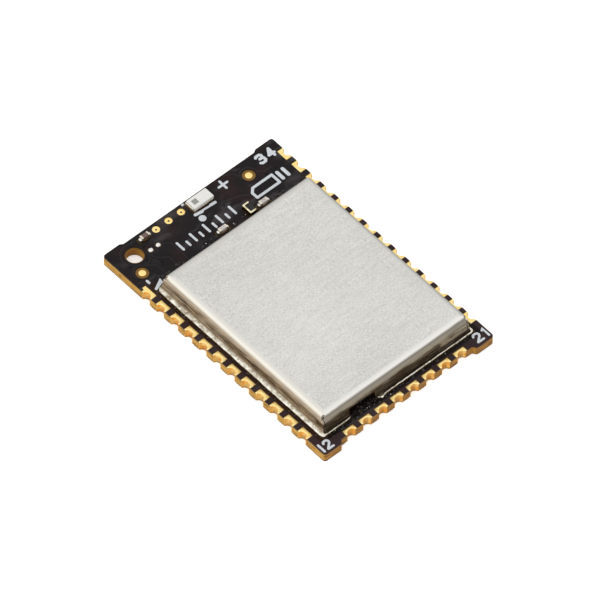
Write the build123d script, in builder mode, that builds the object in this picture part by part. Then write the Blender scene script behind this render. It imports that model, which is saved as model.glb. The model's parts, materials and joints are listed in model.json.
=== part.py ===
import math
import os

from build123d import *

# Castellated pads: down the left side, along the pad end, up the right side
pad_pitch = 1.21
pad_width = 0.80
pad_depth = 0.42
end_pad_depth = 0.35
pad_foot_depth = 0.75
pad_clearance = 0.03
notch_radius = 0.30
notch_offset = 0.08
plating_thickness = 0.03
left_pads = 12
end_pads = 8
right_pads = 14
bump_depth = 0.26
bump_rise = 0.16

# Board: the laminate between two coats of solder mask. The right row of pads sets its length
row_start = 1.93
row_end = 1.34
board_length = row_start + (right_pads - 1) * pad_pitch + row_end
board_width = 13.0
board_thickness = 0.68
mask_thickness = 0.045
copper_thickness = 0.035
board_corner_radius = 0.18
corner_tab = 1.2
tab_slope = 0.35
pad_end_recess = 0.26
antenna_end_recess = 0.13

# What lies at the antenna end: places are measured from the left side and from that end
hole_place = (1.41, 1.18)
hole_radius = 0.52
hole_mask_clearance = 0.17
left_dot_place = (0.90, 2.40)
right_dot_place = (10.20, 1.15)
dot_radius = 0.22
dot_opening_radius = 0.40
first_test_pad = (3.59, 0.57)
test_pad_pitch = 0.958
test_pad_count = 3
test_pad_radius = 0.23

# Shield can, folded from sheet. Its walls lean in a little from the foot to the top
can_left_inset = 0.92
can_right_inset = 0.79
can_near_inset = 1.16
can_far_inset = 3.94
side_lean = 0.13
end_lean = 0.20
can_height = 1.33
sheet_thickness = 0.15
bend_radius = 0.28
relief_radius = 0.12
relief_inset = 0.05
slit_width = 0.06
window_width = 2.06
window_height = 0.55
window_offset = -2.52
shield_land_inside = 0.12
shield_land_outside = 0.17
solder_foot = 0.15
solder_height = 0.20
solder_slope = 0.12
solder_corner_radius = 0.22

# Ceramic chip antenna by the board's end
antenna_place = (6.777, 0.725)
antenna_length = 1.60
antenna_width = 0.76
antenna_height = 0.32
antenna_band = 0.05
antenna_corner = 0.04
antenna_bevel = 0.02

# Small chips: length, width and height over their metal end caps
chip_length = 0.60
chip_width = 0.30
chip_height = 0.30
cap_length = 0.15
cap_proud = 0.01
chip_bevel = 0.03
land_overhang = 0.18
fillet_length = 0.17
fillet_height = 0.22
tuning_place = (2.68, 0.61)
left_edge_place = (6.40, 3.15)
right_edge_place = (9.47, 3.22)
empty_place = (2.63, 1.505)
solder_dot_pitch = 0.56
solder_dot_radius = 0.17
solder_dot_height = 0.12
solder_dot_slope = 0.08

# Matching inductor: dark body held in a metal end bracket
inductor_length = 0.76
inductor_width = 0.50
inductor_height = 0.34
inductor_place = (8.52, 3.09)
bracket_thickness = 0.10
bracket_reach = 0.45
inductor_drop = 0.05

# Square chips under the can, placed from its middle: size, height, leads a side, heat pad
radio_place = (-1.1, -2.11)
radio_size = 5.0
radio_height = 0.85
radio_lead_count = 8
radio_heat_pad = 3.4
front_end_place = (3.3, 4.19)
front_end_size = 2.0
front_end_height = 0.60
front_end_lead_count = 3
front_end_heat_pad = 0.9
lead_pitch = 0.5
lead_width = 0.25
lead_length = 0.40
dimple_radius = 0.2
dimple_depth = 0.06
dimple_inset = 0.5

# Crystals under the can, placed from its middle: a ceramic base and a metal lid
main_crystal_place = (-3.4, 4.09)
main_crystal_size = (2.0, 1.6)
clock_crystal_place = (-0.1, 4.79)
clock_crystal_size = (3.2, 1.5)
crystal_base_height = 0.35
crystal_lid_height = 0.15
crystal_lid_margin = 0.12

# Wound power inductor under the can: a waisted core with a flange above and below
coil_place = (3.3, -4.71)
coil_size = (2.0, 1.6)
coil_height = 1.0
coil_waist = 0.22
coil_flange = 0.25
end_land_length = 0.35

# Bypass capacitors under the can: start of each row from its middle, and how many stand in it
bypass_rows = ((2.55, -2.91), (2.55, -0.71), (-2.7, 2.54))
bypass_counts = (3, 3, 4)
bypass_pitch = 0.75

# Heights and places that follow
half_width = board_width / 2
half_length = board_length / 2
laminate_bottom = mask_thickness
laminate_top = board_thickness - mask_thickness
copper_bottom = mask_thickness - copper_thickness
copper_top = laminate_top + copper_thickness
pad_end_edge = pad_end_recess - half_length
row_y = row_start - half_length
can_width = board_width - can_left_inset - can_right_inset
can_length = board_length - can_near_inset - can_far_inset
can_centre = ((can_left_inset - can_right_inset) / 2, (can_near_inset - can_far_inset) / 2)
can_top_width = can_width - 2 * side_lean
can_top_length = can_length - 2 * end_lean
can_near_y = can_near_inset - half_length
window_centre = (window_offset, can_near_y)


def from_corner(place):
    """A place given from the left side and the antenna end of the board."""
    return (place[0] - half_width, half_length - place[1])


def from_can_middle(place):
    """A place under the can, given from the can's middle."""
    return (can_centre[0] + place[0], can_centre[1] + place[1])


hole_centre = from_corner(hole_place)
dot_centres = [from_corner(left_dot_place), from_corner(right_dot_place)]
antenna_centre = from_corner(antenna_place)
tuning_centre = from_corner(tuning_place)
left_edge_centre = from_corner(left_edge_place)
right_edge_centre = from_corner(right_edge_place)
empty_centre = from_corner(empty_place)
inductor_centre = from_corner(inductor_place)
edge_chips = (tuning_centre, left_edge_centre, right_edge_centre)
test_pad_centres = [
    from_corner((first_test_pad[0] + index * test_pad_pitch, first_test_pad[1]))
    for index in range(test_pad_count)
]
solder_dot_centres = [
    (empty_centre[0] + side * solder_dot_pitch / 2, empty_centre[1]) for side in (-1, 1)
]

# Each pad: its place on the board's edge, the way into the board and its depth
pad_places = []
for index in range(left_pads):
    pad_y = row_y + (left_pads - 1 - index) * pad_pitch
    pad_places.append(((-half_width, pad_y), (1, 0, 0), pad_depth))
for index in range(end_pads):
    pad_x = (index - (end_pads - 1) / 2) * pad_pitch
    pad_places.append(((pad_x, pad_end_edge), (0, 1, 0), end_pad_depth))
for index in range(right_pads):
    pad_places.append(((half_width, row_y + index * pad_pitch), (-1, 0, 0), pad_depth))

bypass_centres = [
    from_can_middle((start_x + index * bypass_pitch, start_y))
    for (start_x, start_y), count in zip(bypass_rows, bypass_counts)
    for index in range(count)
]
crystals = (
    (from_can_middle(main_crystal_place), main_crystal_size),
    (from_can_middle(clock_crystal_place), clock_crystal_size),
)
coil = (from_can_middle(coil_place), coil_size)


def pad_plane(place, inward, height):
    """A plane at a pad: its origin on the board's edge, its X axis into the board."""
    return Plane(origin=(place[0], place[1], height), x_dir=inward, z_dir=(0, 0, 1))


def end_recess(edge_y, depth):
    """The shallow recess along one end of the board, with an S curve at each side."""
    outer = half_width - corner_tab
    inner = outer - tab_slope
    middle = (outer + inner) / 2
    floor_y = edge_y + depth
    half_y = edge_y + depth / 2
    with BuildSketch() as recess:
        with BuildLine():
            leave = TangentArc((-outer, edge_y), (-middle, half_y), tangent=(1, 0))
            TangentArc((-middle, half_y), (-inner, floor_y), tangent=leave % 1)
            Line((-inner, floor_y), (inner, floor_y))
            rejoin = TangentArc((inner, floor_y), (middle, half_y), tangent=(1, 0))
            TangentArc((middle, half_y), (outer, edge_y), tangent=rejoin % 1)
            Line((outer, edge_y), (-outer, edge_y))
        make_face()
    return recess.sketch


def board_outline():
    """The board seen from above, without its edge notches and holes."""
    with BuildSketch() as outline:
        Rectangle(board_width, board_length)
        fillet(outline.vertices(), board_corner_radius)
        add(end_recess(-half_length, pad_end_recess), mode=Mode.SUBTRACT)
        add(end_recess(half_length, -antenna_end_recess), mode=Mode.SUBTRACT)
    return outline.sketch


def pad_openings(depths):
    """The openings in a coat of solder mask over the lands of the edge pads."""
    with BuildSketch() as openings:
        for (place, inward, _), depth in zip(pad_places, depths):
            with Locations(pad_plane(place, inward, 0).location):
                Rectangle(2 * (depth + pad_clearance), pad_width + 2 * pad_clearance)
    return openings.sketch


def first_pad_bump(clearance):
    """The square bump on the inner corner of the first pad's upper land."""
    place, inward, depth = pad_places[0]
    with BuildSketch(pad_plane(place, inward, 0)) as bump:
        with Locations((depth - bump_depth / 2, (pad_width + bump_rise) / 2)):
            Rectangle(bump_depth + 2 * clearance, bump_rise + 2 * clearance)
    return bump.sketch


# Laminate with its notches and locating hole
with BuildPart() as board_laminate:
    with BuildSketch(Plane.XY.offset(laminate_bottom)):
        add(board_outline())
        for place, inward, depth in pad_places:
            edge = pad_plane(place, inward, 0)
            with Locations(edge.location):
                with Locations((-notch_offset, 0)):
                    Circle(notch_radius + plating_thickness, mode=Mode.SUBTRACT)
        with Locations(hole_centre):
            Circle(hole_radius, mode=Mode.SUBTRACT)
    extrude(amount=laminate_top - laminate_bottom)
board_laminate.part.label = "board_laminate"


# Edge pads: a land on each face, joined by the plated wall of the half hole
def castellated_pad(number, place, inward, depth):
    """One edge pad, all of a piece."""
    lower = pad_plane(place, inward, copper_bottom)
    upper = pad_plane(place, inward, laminate_top)
    with BuildPart() as pad:
        for level, reach in ((lower, pad_foot_depth), (upper, depth)):
            with BuildSketch(level):
                with Locations((reach / 2, 0)):
                    Rectangle(reach, pad_width)
                with Locations((-notch_offset, 0)):
                    Circle(notch_radius, mode=Mode.SUBTRACT)
            extrude(amount=copper_thickness)
        with BuildSketch(lower):
            with Locations((-notch_offset, 0)):
                Circle(notch_radius + plating_thickness)
                Circle(notch_radius, mode=Mode.SUBTRACT)
            with Locations((-notch_radius, 0)):
                Rectangle(2 * notch_radius, 4 * notch_radius, mode=Mode.SUBTRACT)
        extrude(amount=copper_top - copper_bottom)
        if number == 1:
            with BuildSketch(Plane.XY.offset(laminate_top)):
                add(first_pad_bump(0))
            extrude(amount=copper_thickness)
    pad.part.label = f"pad_{number:02d}"
    return pad.part


pads = [
    castellated_pad(index + 1, place, inward, depth)
    for index, (place, inward, depth) in enumerate(pad_places)
]

# Gold dots that a placing machine sights on
with BuildPart() as fiducial_dots:
    with BuildSketch(Plane.XY.offset(laminate_top)):
        with Locations(dot_centres):
            Circle(dot_radius)
    extrude(amount=copper_thickness)
fiducial_dots.part.label = "fiducial_dots"

# Round test points
with BuildPart() as test_pads:
    with BuildSketch(Plane.XY.offset(laminate_top)):
        with Locations(test_pad_centres):
            Circle(test_pad_radius)
    extrude(amount=copper_thickness)
test_pads.part.label = "test_pads"

def window_bridge(clearance):
    """The strip of board that runs in under the can's window."""
    with BuildSketch() as bridge:
        with Locations(window_centre):
            Rectangle(
                window_width - 2 * clearance,
                2 * (sheet_thickness + shield_land_inside + shield_land_outside),
            )
    return bridge.sketch


# Copper strip that the can's foot is soldered to, with a gap at the window
with BuildPart() as shield_land:
    with BuildSketch(Plane.XY.offset(laminate_top)):
        with Locations(can_centre):
            Rectangle(can_width + 2 * shield_land_outside, can_length + 2 * shield_land_outside)
            Rectangle(
                can_width - 2 * (sheet_thickness + shield_land_inside),
                can_length - 2 * (sheet_thickness + shield_land_inside),
                mode=Mode.SUBTRACT,
            )
        add(window_bridge(0), mode=Mode.SUBTRACT)
    extrude(amount=copper_thickness)
shield_land.part.label = "shield_land"


def chip_lands(centre, span, land_length, land_width):
    """The two lands under the ends of a chip that lies along X."""
    with BuildSketch() as lands:
        with Locations(centre):
            with Locations((-span / 2, 0), (span / 2, 0)):
                Rectangle(land_length, land_width)
    return lands.sketch


def square_chip_lands(centre, size, lead_count, heat_pad):
    """The feet of a square chip: a row along each side and one in the middle."""
    row_reach = (size - lead_length) / 2
    with BuildSketch() as lands:
        with Locations(centre):
            Rectangle(heat_pad, heat_pad)
            for side in (-1, 1):
                with Locations((side * row_reach, 0)):
                    with GridLocations(0, lead_pitch, 1, lead_count):
                        Rectangle(lead_length, lead_width)
                with Locations((0, side * row_reach)):
                    with GridLocations(lead_pitch, 0, lead_count, 1):
                        Rectangle(lead_width, lead_length)
    return lands.sketch


radio_centre = from_can_middle(radio_place)
front_end_centre = from_can_middle(front_end_place)
chip_land_length = cap_length + land_overhang
chip_land_span = chip_length - cap_length + land_overhang

# Copper lands under the chips
with BuildPart() as component_lands:
    with BuildSketch(Plane.XY.offset(laminate_top)):
        for centre in edge_chips:
            add(chip_lands(centre, chip_land_span, chip_land_length, chip_width))
        for centre in bypass_centres:
            add(chip_lands(centre, chip_length - cap_length, cap_length, chip_width))
        for centre, size in (*crystals, coil):
            add(chip_lands(centre, size[0] - end_land_length, end_land_length, size[1]))
        add(chip_lands(antenna_centre, antenna_length - antenna_band, antenna_band, antenna_width))
        add(square_chip_lands(radio_centre, radio_size, radio_lead_count, radio_heat_pad))
        add(
            square_chip_lands(
                front_end_centre, front_end_size, front_end_lead_count, front_end_heat_pad
            )
        )
        with Locations(solder_dot_centres):
            Circle(solder_dot_radius)
        with Locations(inductor_centre):
            Rectangle(inductor_width, inductor_length)
    extrude(amount=copper_thickness)
component_lands.part.label = "component_lands"


def can_opening():
    """The opening in the upper coat over the can's land, bridged under the window."""
    with BuildSketch() as opening:
        with Locations(can_centre):
            Rectangle(
                can_width + 2 * (shield_land_outside + pad_clearance),
                can_length + 2 * (shield_land_outside + pad_clearance),
            )
        add(window_bridge(pad_clearance), mode=Mode.SUBTRACT)
    return opening.sketch


# Upper coat of solder mask
with BuildPart() as solder_mask_top:
    with BuildSketch(Plane.XY.offset(laminate_top)):
        add(board_outline())
        add(pad_openings([depth for _, _, depth in pad_places]), mode=Mode.SUBTRACT)
        add(first_pad_bump(pad_clearance), mode=Mode.SUBTRACT)
        with Locations(hole_centre):
            Circle(hole_radius + hole_mask_clearance, mode=Mode.SUBTRACT)
        with Locations(dot_centres):
            Circle(dot_opening_radius, mode=Mode.SUBTRACT)
        with Locations(test_pad_centres):
            Circle(test_pad_radius + pad_clearance, mode=Mode.SUBTRACT)
        with Locations(solder_dot_centres):
            Circle(solder_dot_radius + pad_clearance, mode=Mode.SUBTRACT)
        for centre in edge_chips:
            with Locations(centre):
                Rectangle(
                    chip_land_span + chip_land_length + 2 * pad_clearance,
                    chip_width + 2 * pad_clearance,
                    mode=Mode.SUBTRACT,
                )
        with Locations(antenna_centre):
            Rectangle(
                antenna_length + 2 * pad_clearance,
                antenna_width + 2 * pad_clearance,
                mode=Mode.SUBTRACT,
            )
        with Locations(inductor_centre):
            Rectangle(
                inductor_width + 2 * pad_clearance,
                inductor_length + 2 * pad_clearance,
                mode=Mode.SUBTRACT,
            )
        add(can_opening(), mode=Mode.SUBTRACT)
    extrude(amount=mask_thickness)
solder_mask_top.part.label = "solder_mask_top"

# Lower coat of solder mask, the face that the module lies on
with BuildPart() as solder_mask_bottom:
    with BuildSketch():
        add(board_outline())
        add(pad_openings([pad_foot_depth] * len(pad_places)), mode=Mode.SUBTRACT)
        with Locations(hole_centre):
            Circle(hole_radius + hole_mask_clearance, mode=Mode.SUBTRACT)
    extrude(amount=mask_thickness)
solder_mask_bottom.part.label = "solder_mask_bottom"


def folded_tray(width, length, height, radius):
    """A closed block with leaning walls, its upper edges rolled over by the given radius."""
    rise = height / can_height
    with BuildPart() as tray:
        with BuildSketch(Plane.XY.offset(copper_top)):
            with Locations(can_centre):
                Rectangle(width, length)
        with BuildSketch(Plane.XY.offset(copper_top + height)):
            with Locations(can_centre):
                Rectangle(width - 2 * side_lean * rise, length - 2 * end_lean * rise)
        loft(ruled=True)
        fillet(tray.faces().sort_by(Axis.Z)[-1].edges(), radius)
    return tray.part


# Shield can: a folded tray, open below, with a relief hole and a slit at each corner
can_outside = folded_tray(can_width, can_length, can_height, bend_radius)
can_inside = folded_tray(
    can_width - 2 * sheet_thickness,
    can_length - 2 * sheet_thickness,
    can_height - sheet_thickness,
    bend_radius - sheet_thickness,
)
slit_spacing = can_width - 2 * sheet_thickness - slit_width
with BuildPart() as shield_can:
    add(can_outside)
    add(can_inside, mode=Mode.SUBTRACT)
    with BuildSketch(Plane.XY.offset(copper_top + can_height)):
        with Locations(can_centre):
            with GridLocations(
                can_top_width - 2 * relief_inset, can_top_length - 2 * relief_inset, 2, 2
            ):
                Circle(relief_radius)
    extrude(amount=-(bend_radius + relief_radius), mode=Mode.SUBTRACT)
    with BuildSketch(Plane.XY.offset(copper_top)):
        with Locations(can_centre):
            with GridLocations(slit_spacing, can_length, 2, 2):
                Rectangle(slit_width, 2 * (sheet_thickness + end_lean))
    extrude(amount=can_height - bend_radius, mode=Mode.SUBTRACT)
    with BuildSketch(Plane.XY.offset(copper_top)):
        with Locations(window_centre):
            Rectangle(window_width, 2 * (sheet_thickness + end_lean))
    extrude(amount=window_height, mode=Mode.SUBTRACT)
shield_can.part.label = "shield_can"

# Bead of solder round the can's foot, with a gap at the window
with BuildPart() as shield_solder:
    with BuildSketch(Plane.XY.offset(copper_top)):
        with Locations(can_centre):
            RectangleRounded(
                can_width + 2 * solder_foot,
                can_length + 2 * solder_foot,
                solder_corner_radius,
            )
    extrude(amount=solder_height)
    chamfer(shield_solder.faces().sort_by(Axis.Z)[-1].edges(), solder_slope)
    add(can_outside, mode=Mode.SUBTRACT)
    with BuildSketch(Plane.XY.offset(copper_top)):
        with Locations(window_centre):
            Rectangle(window_width, 2 * (solder_foot + pad_clearance))
    extrude(amount=solder_height, mode=Mode.SUBTRACT)
shield_solder.part.label = "shield_solder"

# Chip antenna: a ceramic block between two metal end bands
antenna_middle = antenna_length - 2 * antenna_band
with BuildPart() as antenna_block:
    with BuildSketch(Plane.XY.offset(copper_top)):
        with Locations(antenna_centre):
            Rectangle(antenna_length, antenna_width)
    extrude(amount=antenna_height)
    chamfer(antenna_block.edges().filter_by(Axis.Z), antenna_corner)
    chamfer(antenna_block.faces().sort_by(Axis.Z)[-1].edges(), antenna_bevel)
with BuildPart() as middle_block:
    with BuildSketch(Plane.XY.offset(copper_top)):
        with Locations(antenna_centre):
            Rectangle(antenna_middle, 2 * antenna_width)
    extrude(amount=antenna_height)
with BuildPart() as chip_antenna:
    add(antenna_block.part)
    add(middle_block.part, mode=Mode.INTERSECT)
chip_antenna.part.label = "chip_antenna"
with BuildPart() as antenna_terminals:
    add(antenna_block.part)
    add(middle_block.part, mode=Mode.SUBTRACT)
antenna_terminals.part.label = "antenna_terminals"


def chip_body(label, centre):
    """The ceramic middle of a small capacitor that lies along X between its end caps."""
    with BuildPart() as body:
        with BuildSketch(Plane.XY.offset(copper_top + cap_proud)):
            with Locations(centre):
                Rectangle(chip_length - 2 * cap_length, chip_width - 2 * cap_proud)
        extrude(amount=chip_height - 2 * cap_proud)
        chamfer(body.faces().sort_by(Axis.Z)[-1].edges().filter_by(Axis.X), chip_bevel)
    body.part.label = label
    return body.part


edge_capacitors = [
    chip_body("tuning_capacitor", tuning_centre),
    chip_body("left_edge_capacitor", left_edge_centre),
    chip_body("right_edge_capacitor", right_edge_centre),
]

# Metal end caps of the capacitors that stand outside the can
with BuildPart() as chip_end_caps:
    with BuildSketch(Plane.XY.offset(copper_top)):
        for centre in edge_chips:
            add(chip_lands(centre, chip_length - cap_length, cap_length, chip_width))
    extrude(amount=chip_height)
    chamfer(chip_end_caps.faces().filter_by(Axis.Z).group_by(Axis.Z)[-1].edges(), chip_bevel)
chip_end_caps.part.label = "chip_end_caps"

# Solder: two bare dots on an empty place, and a fillet at each end of those capacitors
with BuildPart() as chip_solder:
    with BuildSketch(Plane.XY.offset(copper_top)):
        with Locations(solder_dot_centres):
            Circle(solder_dot_radius)
    extrude(amount=solder_dot_height)
    chamfer(chip_solder.faces().group_by(Axis.Z)[-1].edges(), solder_dot_slope)
    for centre in edge_chips:
        for side in (-1, 1):
            end_face = Plane(
                origin=(centre[0] + side * chip_length / 2, centre[1], copper_top),
                x_dir=(side, 0, 0),
                z_dir=(0, -side, 0),
            )
            with BuildSketch(end_face):
                with BuildLine():
                    Polyline((fillet_length, 0), (0, 0), (0, fillet_height))
                    EllipticalCenterArc((0, 0), fillet_length, fillet_height, arc_size=90)
                make_face()
            extrude(amount=chip_width / 2, both=True)
chip_solder.part.label = "chip_solder"

# Matching inductor: a metal bracket round three sides of a dark body
bracket_left = inductor_centre[0] - inductor_width / 2
with BuildPart() as inductor_bracket:
    with BuildSketch(Plane.XY.offset(copper_top)):
        with Locations((bracket_left + bracket_reach / 2, inductor_centre[1])):
            Rectangle(bracket_reach, inductor_length)
        with Locations((bracket_left + bracket_thickness + inductor_width / 2, inductor_centre[1])):
            Rectangle(inductor_width, inductor_length - 2 * bracket_thickness, mode=Mode.SUBTRACT)
    extrude(amount=inductor_height)
    chamfer(inductor_bracket.faces().sort_by(Axis.Z)[-1].edges(), cap_proud)
inductor_bracket.part.label = "inductor_bracket"
with BuildPart() as matching_inductor:
    with BuildSketch(Plane.XY.offset(copper_top)):
        with Locations((inductor_centre[0] + bracket_thickness / 2, inductor_centre[1])):
            Rectangle(
                inductor_width - bracket_thickness, inductor_length - 2 * bracket_thickness
            )
    extrude(amount=inductor_height - inductor_drop)
matching_inductor.part.label = "matching_inductor"


def square_chip(label, centre, size, height):
    """A square moulded chip, with a dimple that marks the first of its leads."""
    dimple_reach = size / 2 - dimple_inset
    with BuildPart() as chip:
        with BuildSketch(Plane.XY.offset(copper_top)):
            with Locations(centre):
                Rectangle(size, size)
        extrude(amount=height)
        with BuildSketch(Plane.XY.offset(copper_top + height)):
            with Locations((centre[0] - dimple_reach, centre[1] + dimple_reach)):
                Circle(dimple_radius)
        extrude(amount=-dimple_depth, mode=Mode.SUBTRACT)
    chip.part.label = label
    return chip.part


# Crystals: a ceramic base with a metal lid sunk a little inside its edge
def crystal_base(label, centre, size):
    """The ceramic base of a crystal."""
    with BuildPart() as base:
        with BuildSketch(Plane.XY.offset(copper_top)):
            with Locations(centre):
                Rectangle(size[0], size[1])
        extrude(amount=crystal_base_height)
    base.part.label = label
    return base.part


with BuildPart() as crystal_lids:
    with BuildSketch(Plane.XY.offset(copper_top + crystal_base_height)):
        for centre, size in crystals:
            with Locations(centre):
                Rectangle(size[0] - 2 * crystal_lid_margin, size[1] - 2 * crystal_lid_margin)
    extrude(amount=crystal_lid_height)
crystal_lids.part.label = "crystal_lids"

# Power inductor: the winding lies in the waist between the core's flanges
with BuildPart() as power_inductor:
    with BuildSketch(Plane.XY.offset(copper_top)):
        with Locations(coil[0]):
            Rectangle(*coil_size)
    extrude(amount=coil_height)
    with BuildSketch(Plane.XY.offset(copper_top + coil_flange)):
        with Locations(coil[0]):
            Rectangle(*coil_size)
            Rectangle(
                coil_size[0] - 2 * coil_waist, coil_size[1] - 2 * coil_waist, mode=Mode.SUBTRACT
            )
    extrude(amount=coil_height - 2 * coil_flange, mode=Mode.SUBTRACT)
power_inductor.part.label = "power_inductor"

# Bypass capacitors: each body is fused to its end caps
with BuildPart() as bypass_capacitors:
    with BuildSketch(Plane.XY.offset(copper_top + cap_proud)):
        with Locations(bypass_centres):
            Rectangle(chip_length - cap_length, chip_width - 2 * cap_proud)
    extrude(amount=chip_height - 2 * cap_proud)
    with BuildSketch(Plane.XY.offset(copper_top)):
        for centre in bypass_centres:
            add(chip_lands(centre, chip_length - cap_length, cap_length, chip_width))
    extrude(amount=chip_height)
bypass_capacitors.part.label = "bypass_capacitors"

parts = [
    board_laminate.part,
    solder_mask_top.part,
    solder_mask_bottom.part,
    *pads,
    fiducial_dots.part,
    test_pads.part,
    shield_land.part,
    component_lands.part,
    shield_can.part,
    shield_solder.part,
    chip_antenna.part,
    antenna_terminals.part,
    *edge_capacitors,
    chip_end_caps.part,
    chip_solder.part,
    matching_inductor.part,
    inductor_bracket.part,
    square_chip("radio_chip", radio_centre, radio_size, radio_height),
    square_chip("front_end_chip", front_end_centre, front_end_size, front_end_height),
    crystal_base("main_crystal", *crystals[0]),
    crystal_base("clock_crystal", *crystals[1]),
    crystal_lids.part,
    power_inductor.part,
    bypass_capacitors.part,
]

os.makedirs("parts", exist_ok=True)
for piece in parts:
    export_step(piece, f"parts/{piece.label}.step")
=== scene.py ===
import json
import math
from random import Random

import bmesh
import bpy
from mathutils import Matrix, Vector, noise


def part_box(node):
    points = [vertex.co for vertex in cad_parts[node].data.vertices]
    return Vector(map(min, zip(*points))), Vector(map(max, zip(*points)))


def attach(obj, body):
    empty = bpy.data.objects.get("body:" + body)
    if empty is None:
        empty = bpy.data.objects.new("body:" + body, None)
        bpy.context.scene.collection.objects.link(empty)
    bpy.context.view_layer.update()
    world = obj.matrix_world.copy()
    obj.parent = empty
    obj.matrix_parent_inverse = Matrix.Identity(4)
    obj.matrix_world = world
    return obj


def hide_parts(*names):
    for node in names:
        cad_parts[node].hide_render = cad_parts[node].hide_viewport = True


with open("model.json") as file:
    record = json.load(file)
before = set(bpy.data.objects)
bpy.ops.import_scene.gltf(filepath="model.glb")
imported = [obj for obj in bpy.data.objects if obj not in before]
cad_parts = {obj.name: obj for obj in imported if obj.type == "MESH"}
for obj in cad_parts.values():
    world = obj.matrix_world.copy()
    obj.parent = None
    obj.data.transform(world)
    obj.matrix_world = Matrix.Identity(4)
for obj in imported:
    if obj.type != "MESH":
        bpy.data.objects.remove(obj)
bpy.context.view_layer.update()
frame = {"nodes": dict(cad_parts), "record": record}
cadNodes = frame["nodes"]
mm = 0.001
print("stage: frame loaded,", len(cadNodes), "nodes")


def boxOf(node):  # a node's lowest and highest corners, in millimetres
    return [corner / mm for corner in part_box(node)]


# Heights and walls that the pieces below stand on
maskTop = boxOf("solder_mask_top")[1].z
landTop = boxOf("component_lands")[1].z
laminateTop = boxOf("board_laminate")[1].z
canLow, canHigh = boxOf("shield_can")
boardLow, boardHigh = boxOf("board_laminate")


def place(fromLeft, fromEnd):  # measured from the left side and from the antenna end
    return Vector((boardLow.x + fromLeft, boardHigh.y - fromEnd))


# Places on the board that more than one piece keeps to
holeAt = (1.41, 1.18)
sightingAt = ((0.90, 2.40), (10.20, 1.15))


def tone(red, green, blue):  # a colour as a screen shows it, 0 to 255
    levels = [value / 255 for value in (red, green, blue)]
    return tuple(v / 12.92 if v < 0.04045 else ((v + 0.055) / 1.055) ** 2.4 for v in levels) + (1,)


# Shader sums

class Wire:  # a socket that can stand in plain sums
    def __init__(self, paint, socket):
        self.paint, self.socket = paint, socket

    def __add__(self, other):
        return self.paint.sum("ADD", self, other)

    def __radd__(self, other):
        return self.paint.sum("ADD", other, self)

    def __sub__(self, other):
        return self.paint.sum("SUBTRACT", self, other)

    def __rsub__(self, other):
        return self.paint.sum("SUBTRACT", other, self)

    def __mul__(self, other):
        return self.paint.sum("MULTIPLY", self, other)

    def __rmul__(self, other):
        return self.paint.sum("MULTIPLY", other, self)


class Paint:  # a node tree, of a material unless another is given
    def __init__(self, name, tree=None):
        self.material = None
        if tree is None:
            self.material = bpy.data.materials.new(name)
            self.material.use_nodes = True
            tree = self.material.node_tree
        self.tree = tree
        self.tree.nodes.clear()

    def node(self, kind, settings=None, inputs=None, out=0):
        made = self.tree.nodes.new("ShaderNode" + kind)
        for key, value in (settings or {}).items():
            if key == "stops":
                ramp = made.color_ramp
                while len(ramp.elements) < len(value):
                    ramp.elements.new(1)
                for element, (spot, colour) in zip(ramp.elements, value):
                    element.position, element.color = spot, colour
            else:
                setattr(made, key, value)
        for key, value in (inputs or {}).items():
            if isinstance(value, Wire):
                self.tree.links.new(value.socket, made.inputs[key])
            else:
                made.inputs[key].default_value = value
        return Wire(self, made.outputs[out]) if made.outputs else made

    def sum(self, operation, a, b):
        return self.node("Math", {"operation": operation}, {0: a, 1: b})

    def size(self, value):
        return self.node("Math", {"operation": "ABSOLUTE"}, {0: value})

    def spot(self):  # where the point is on the object, in millimetres
        return self.node(
            "VectorMath", {"operation": "SCALE"}, {0: self.node("TexCoord", out="Object"), "Scale": 1 / mm}
        )

    def part(self, vector, axis):  # one number of a vector, by the name of its axis
        return self.node("SeparateXYZ", {}, {0: vector}, out=axis.upper())

    def where(self, axis):  # the point's place on that axis, in millimetres
        return self.part(self.spot(), axis)

    def facing(self, axis):  # how far the surface faces that way
        return self.part(self.node("NewGeometry", out="Normal"), axis)

    def mix(self, a, b, factor):
        return self.node("Mix", {"data_type": "RGBA"}, {0: factor, 6: a, 7: b}, out=2)

    def grain(self, scale, detail=2.0, stretch=(1, 1, 1), shift=(0, 0, 0)):
        where = self.node(
            "VectorMath", {"operation": "MULTIPLY_ADD"}, {0: self.spot(), 1: stretch, 2: shift}
        )
        return self.node("TexNoise", {}, {"Vector": where, "Scale": scale, "Detail": detail})

    def grains(self, kinds):
        return {name: self.grain(*kind) for name, kind in kinds.items()}

    def sway(self, grains, shares):  # grains about their middle, added up by their shares
        total = 0
        for name, share in shares.items():
            total = (grains[name] - 0.5) * share + total
        return total

    def step(self, value, none, full):  # from 0 at the first to 1 at the second, which may be the lower one
        return self.node(
            "MapRange",
            {"interpolation_type": "SMOOTHSTEP"},
            {"Value": value, "From Min": none, "From Max": full},
        )

    def band(self, value, rise, fall):  # comes in over one range and goes out over the other
        return self.step(value, *rise) * self.step(value, *fall)

    def touch(self, colour, value, how, zone=None):  # a tone laid on where the value is in its range
        share = self.step(value, *how["range"])
        if zone is not None:
            share = share * zone
        return self.mix(colour, how["tone"], share * how["share"])

    def ramp(self, value, stops):
        return self.node("ValToRGB", {"stops": stops}, {0: value})

    def bump(self, height, depth, under=None):  # depth in millimetres
        inputs = {"Height": height, "Distance": depth * mm, "Strength": 1.0}
        if under is not None:
            inputs["Normal"] = under
        return self.node("Bump", {}, inputs)

    def finish(self, **sockets):
        named = {key.replace("_", " "): value for key, value in sockets.items()}
        surface = self.node("BsdfPrincipled", {}, named)
        self.node("OutputMaterial", {}, {"Surface": surface})
        return self.material


# Camera: a long lens, turned to the angle of the photograph

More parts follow.
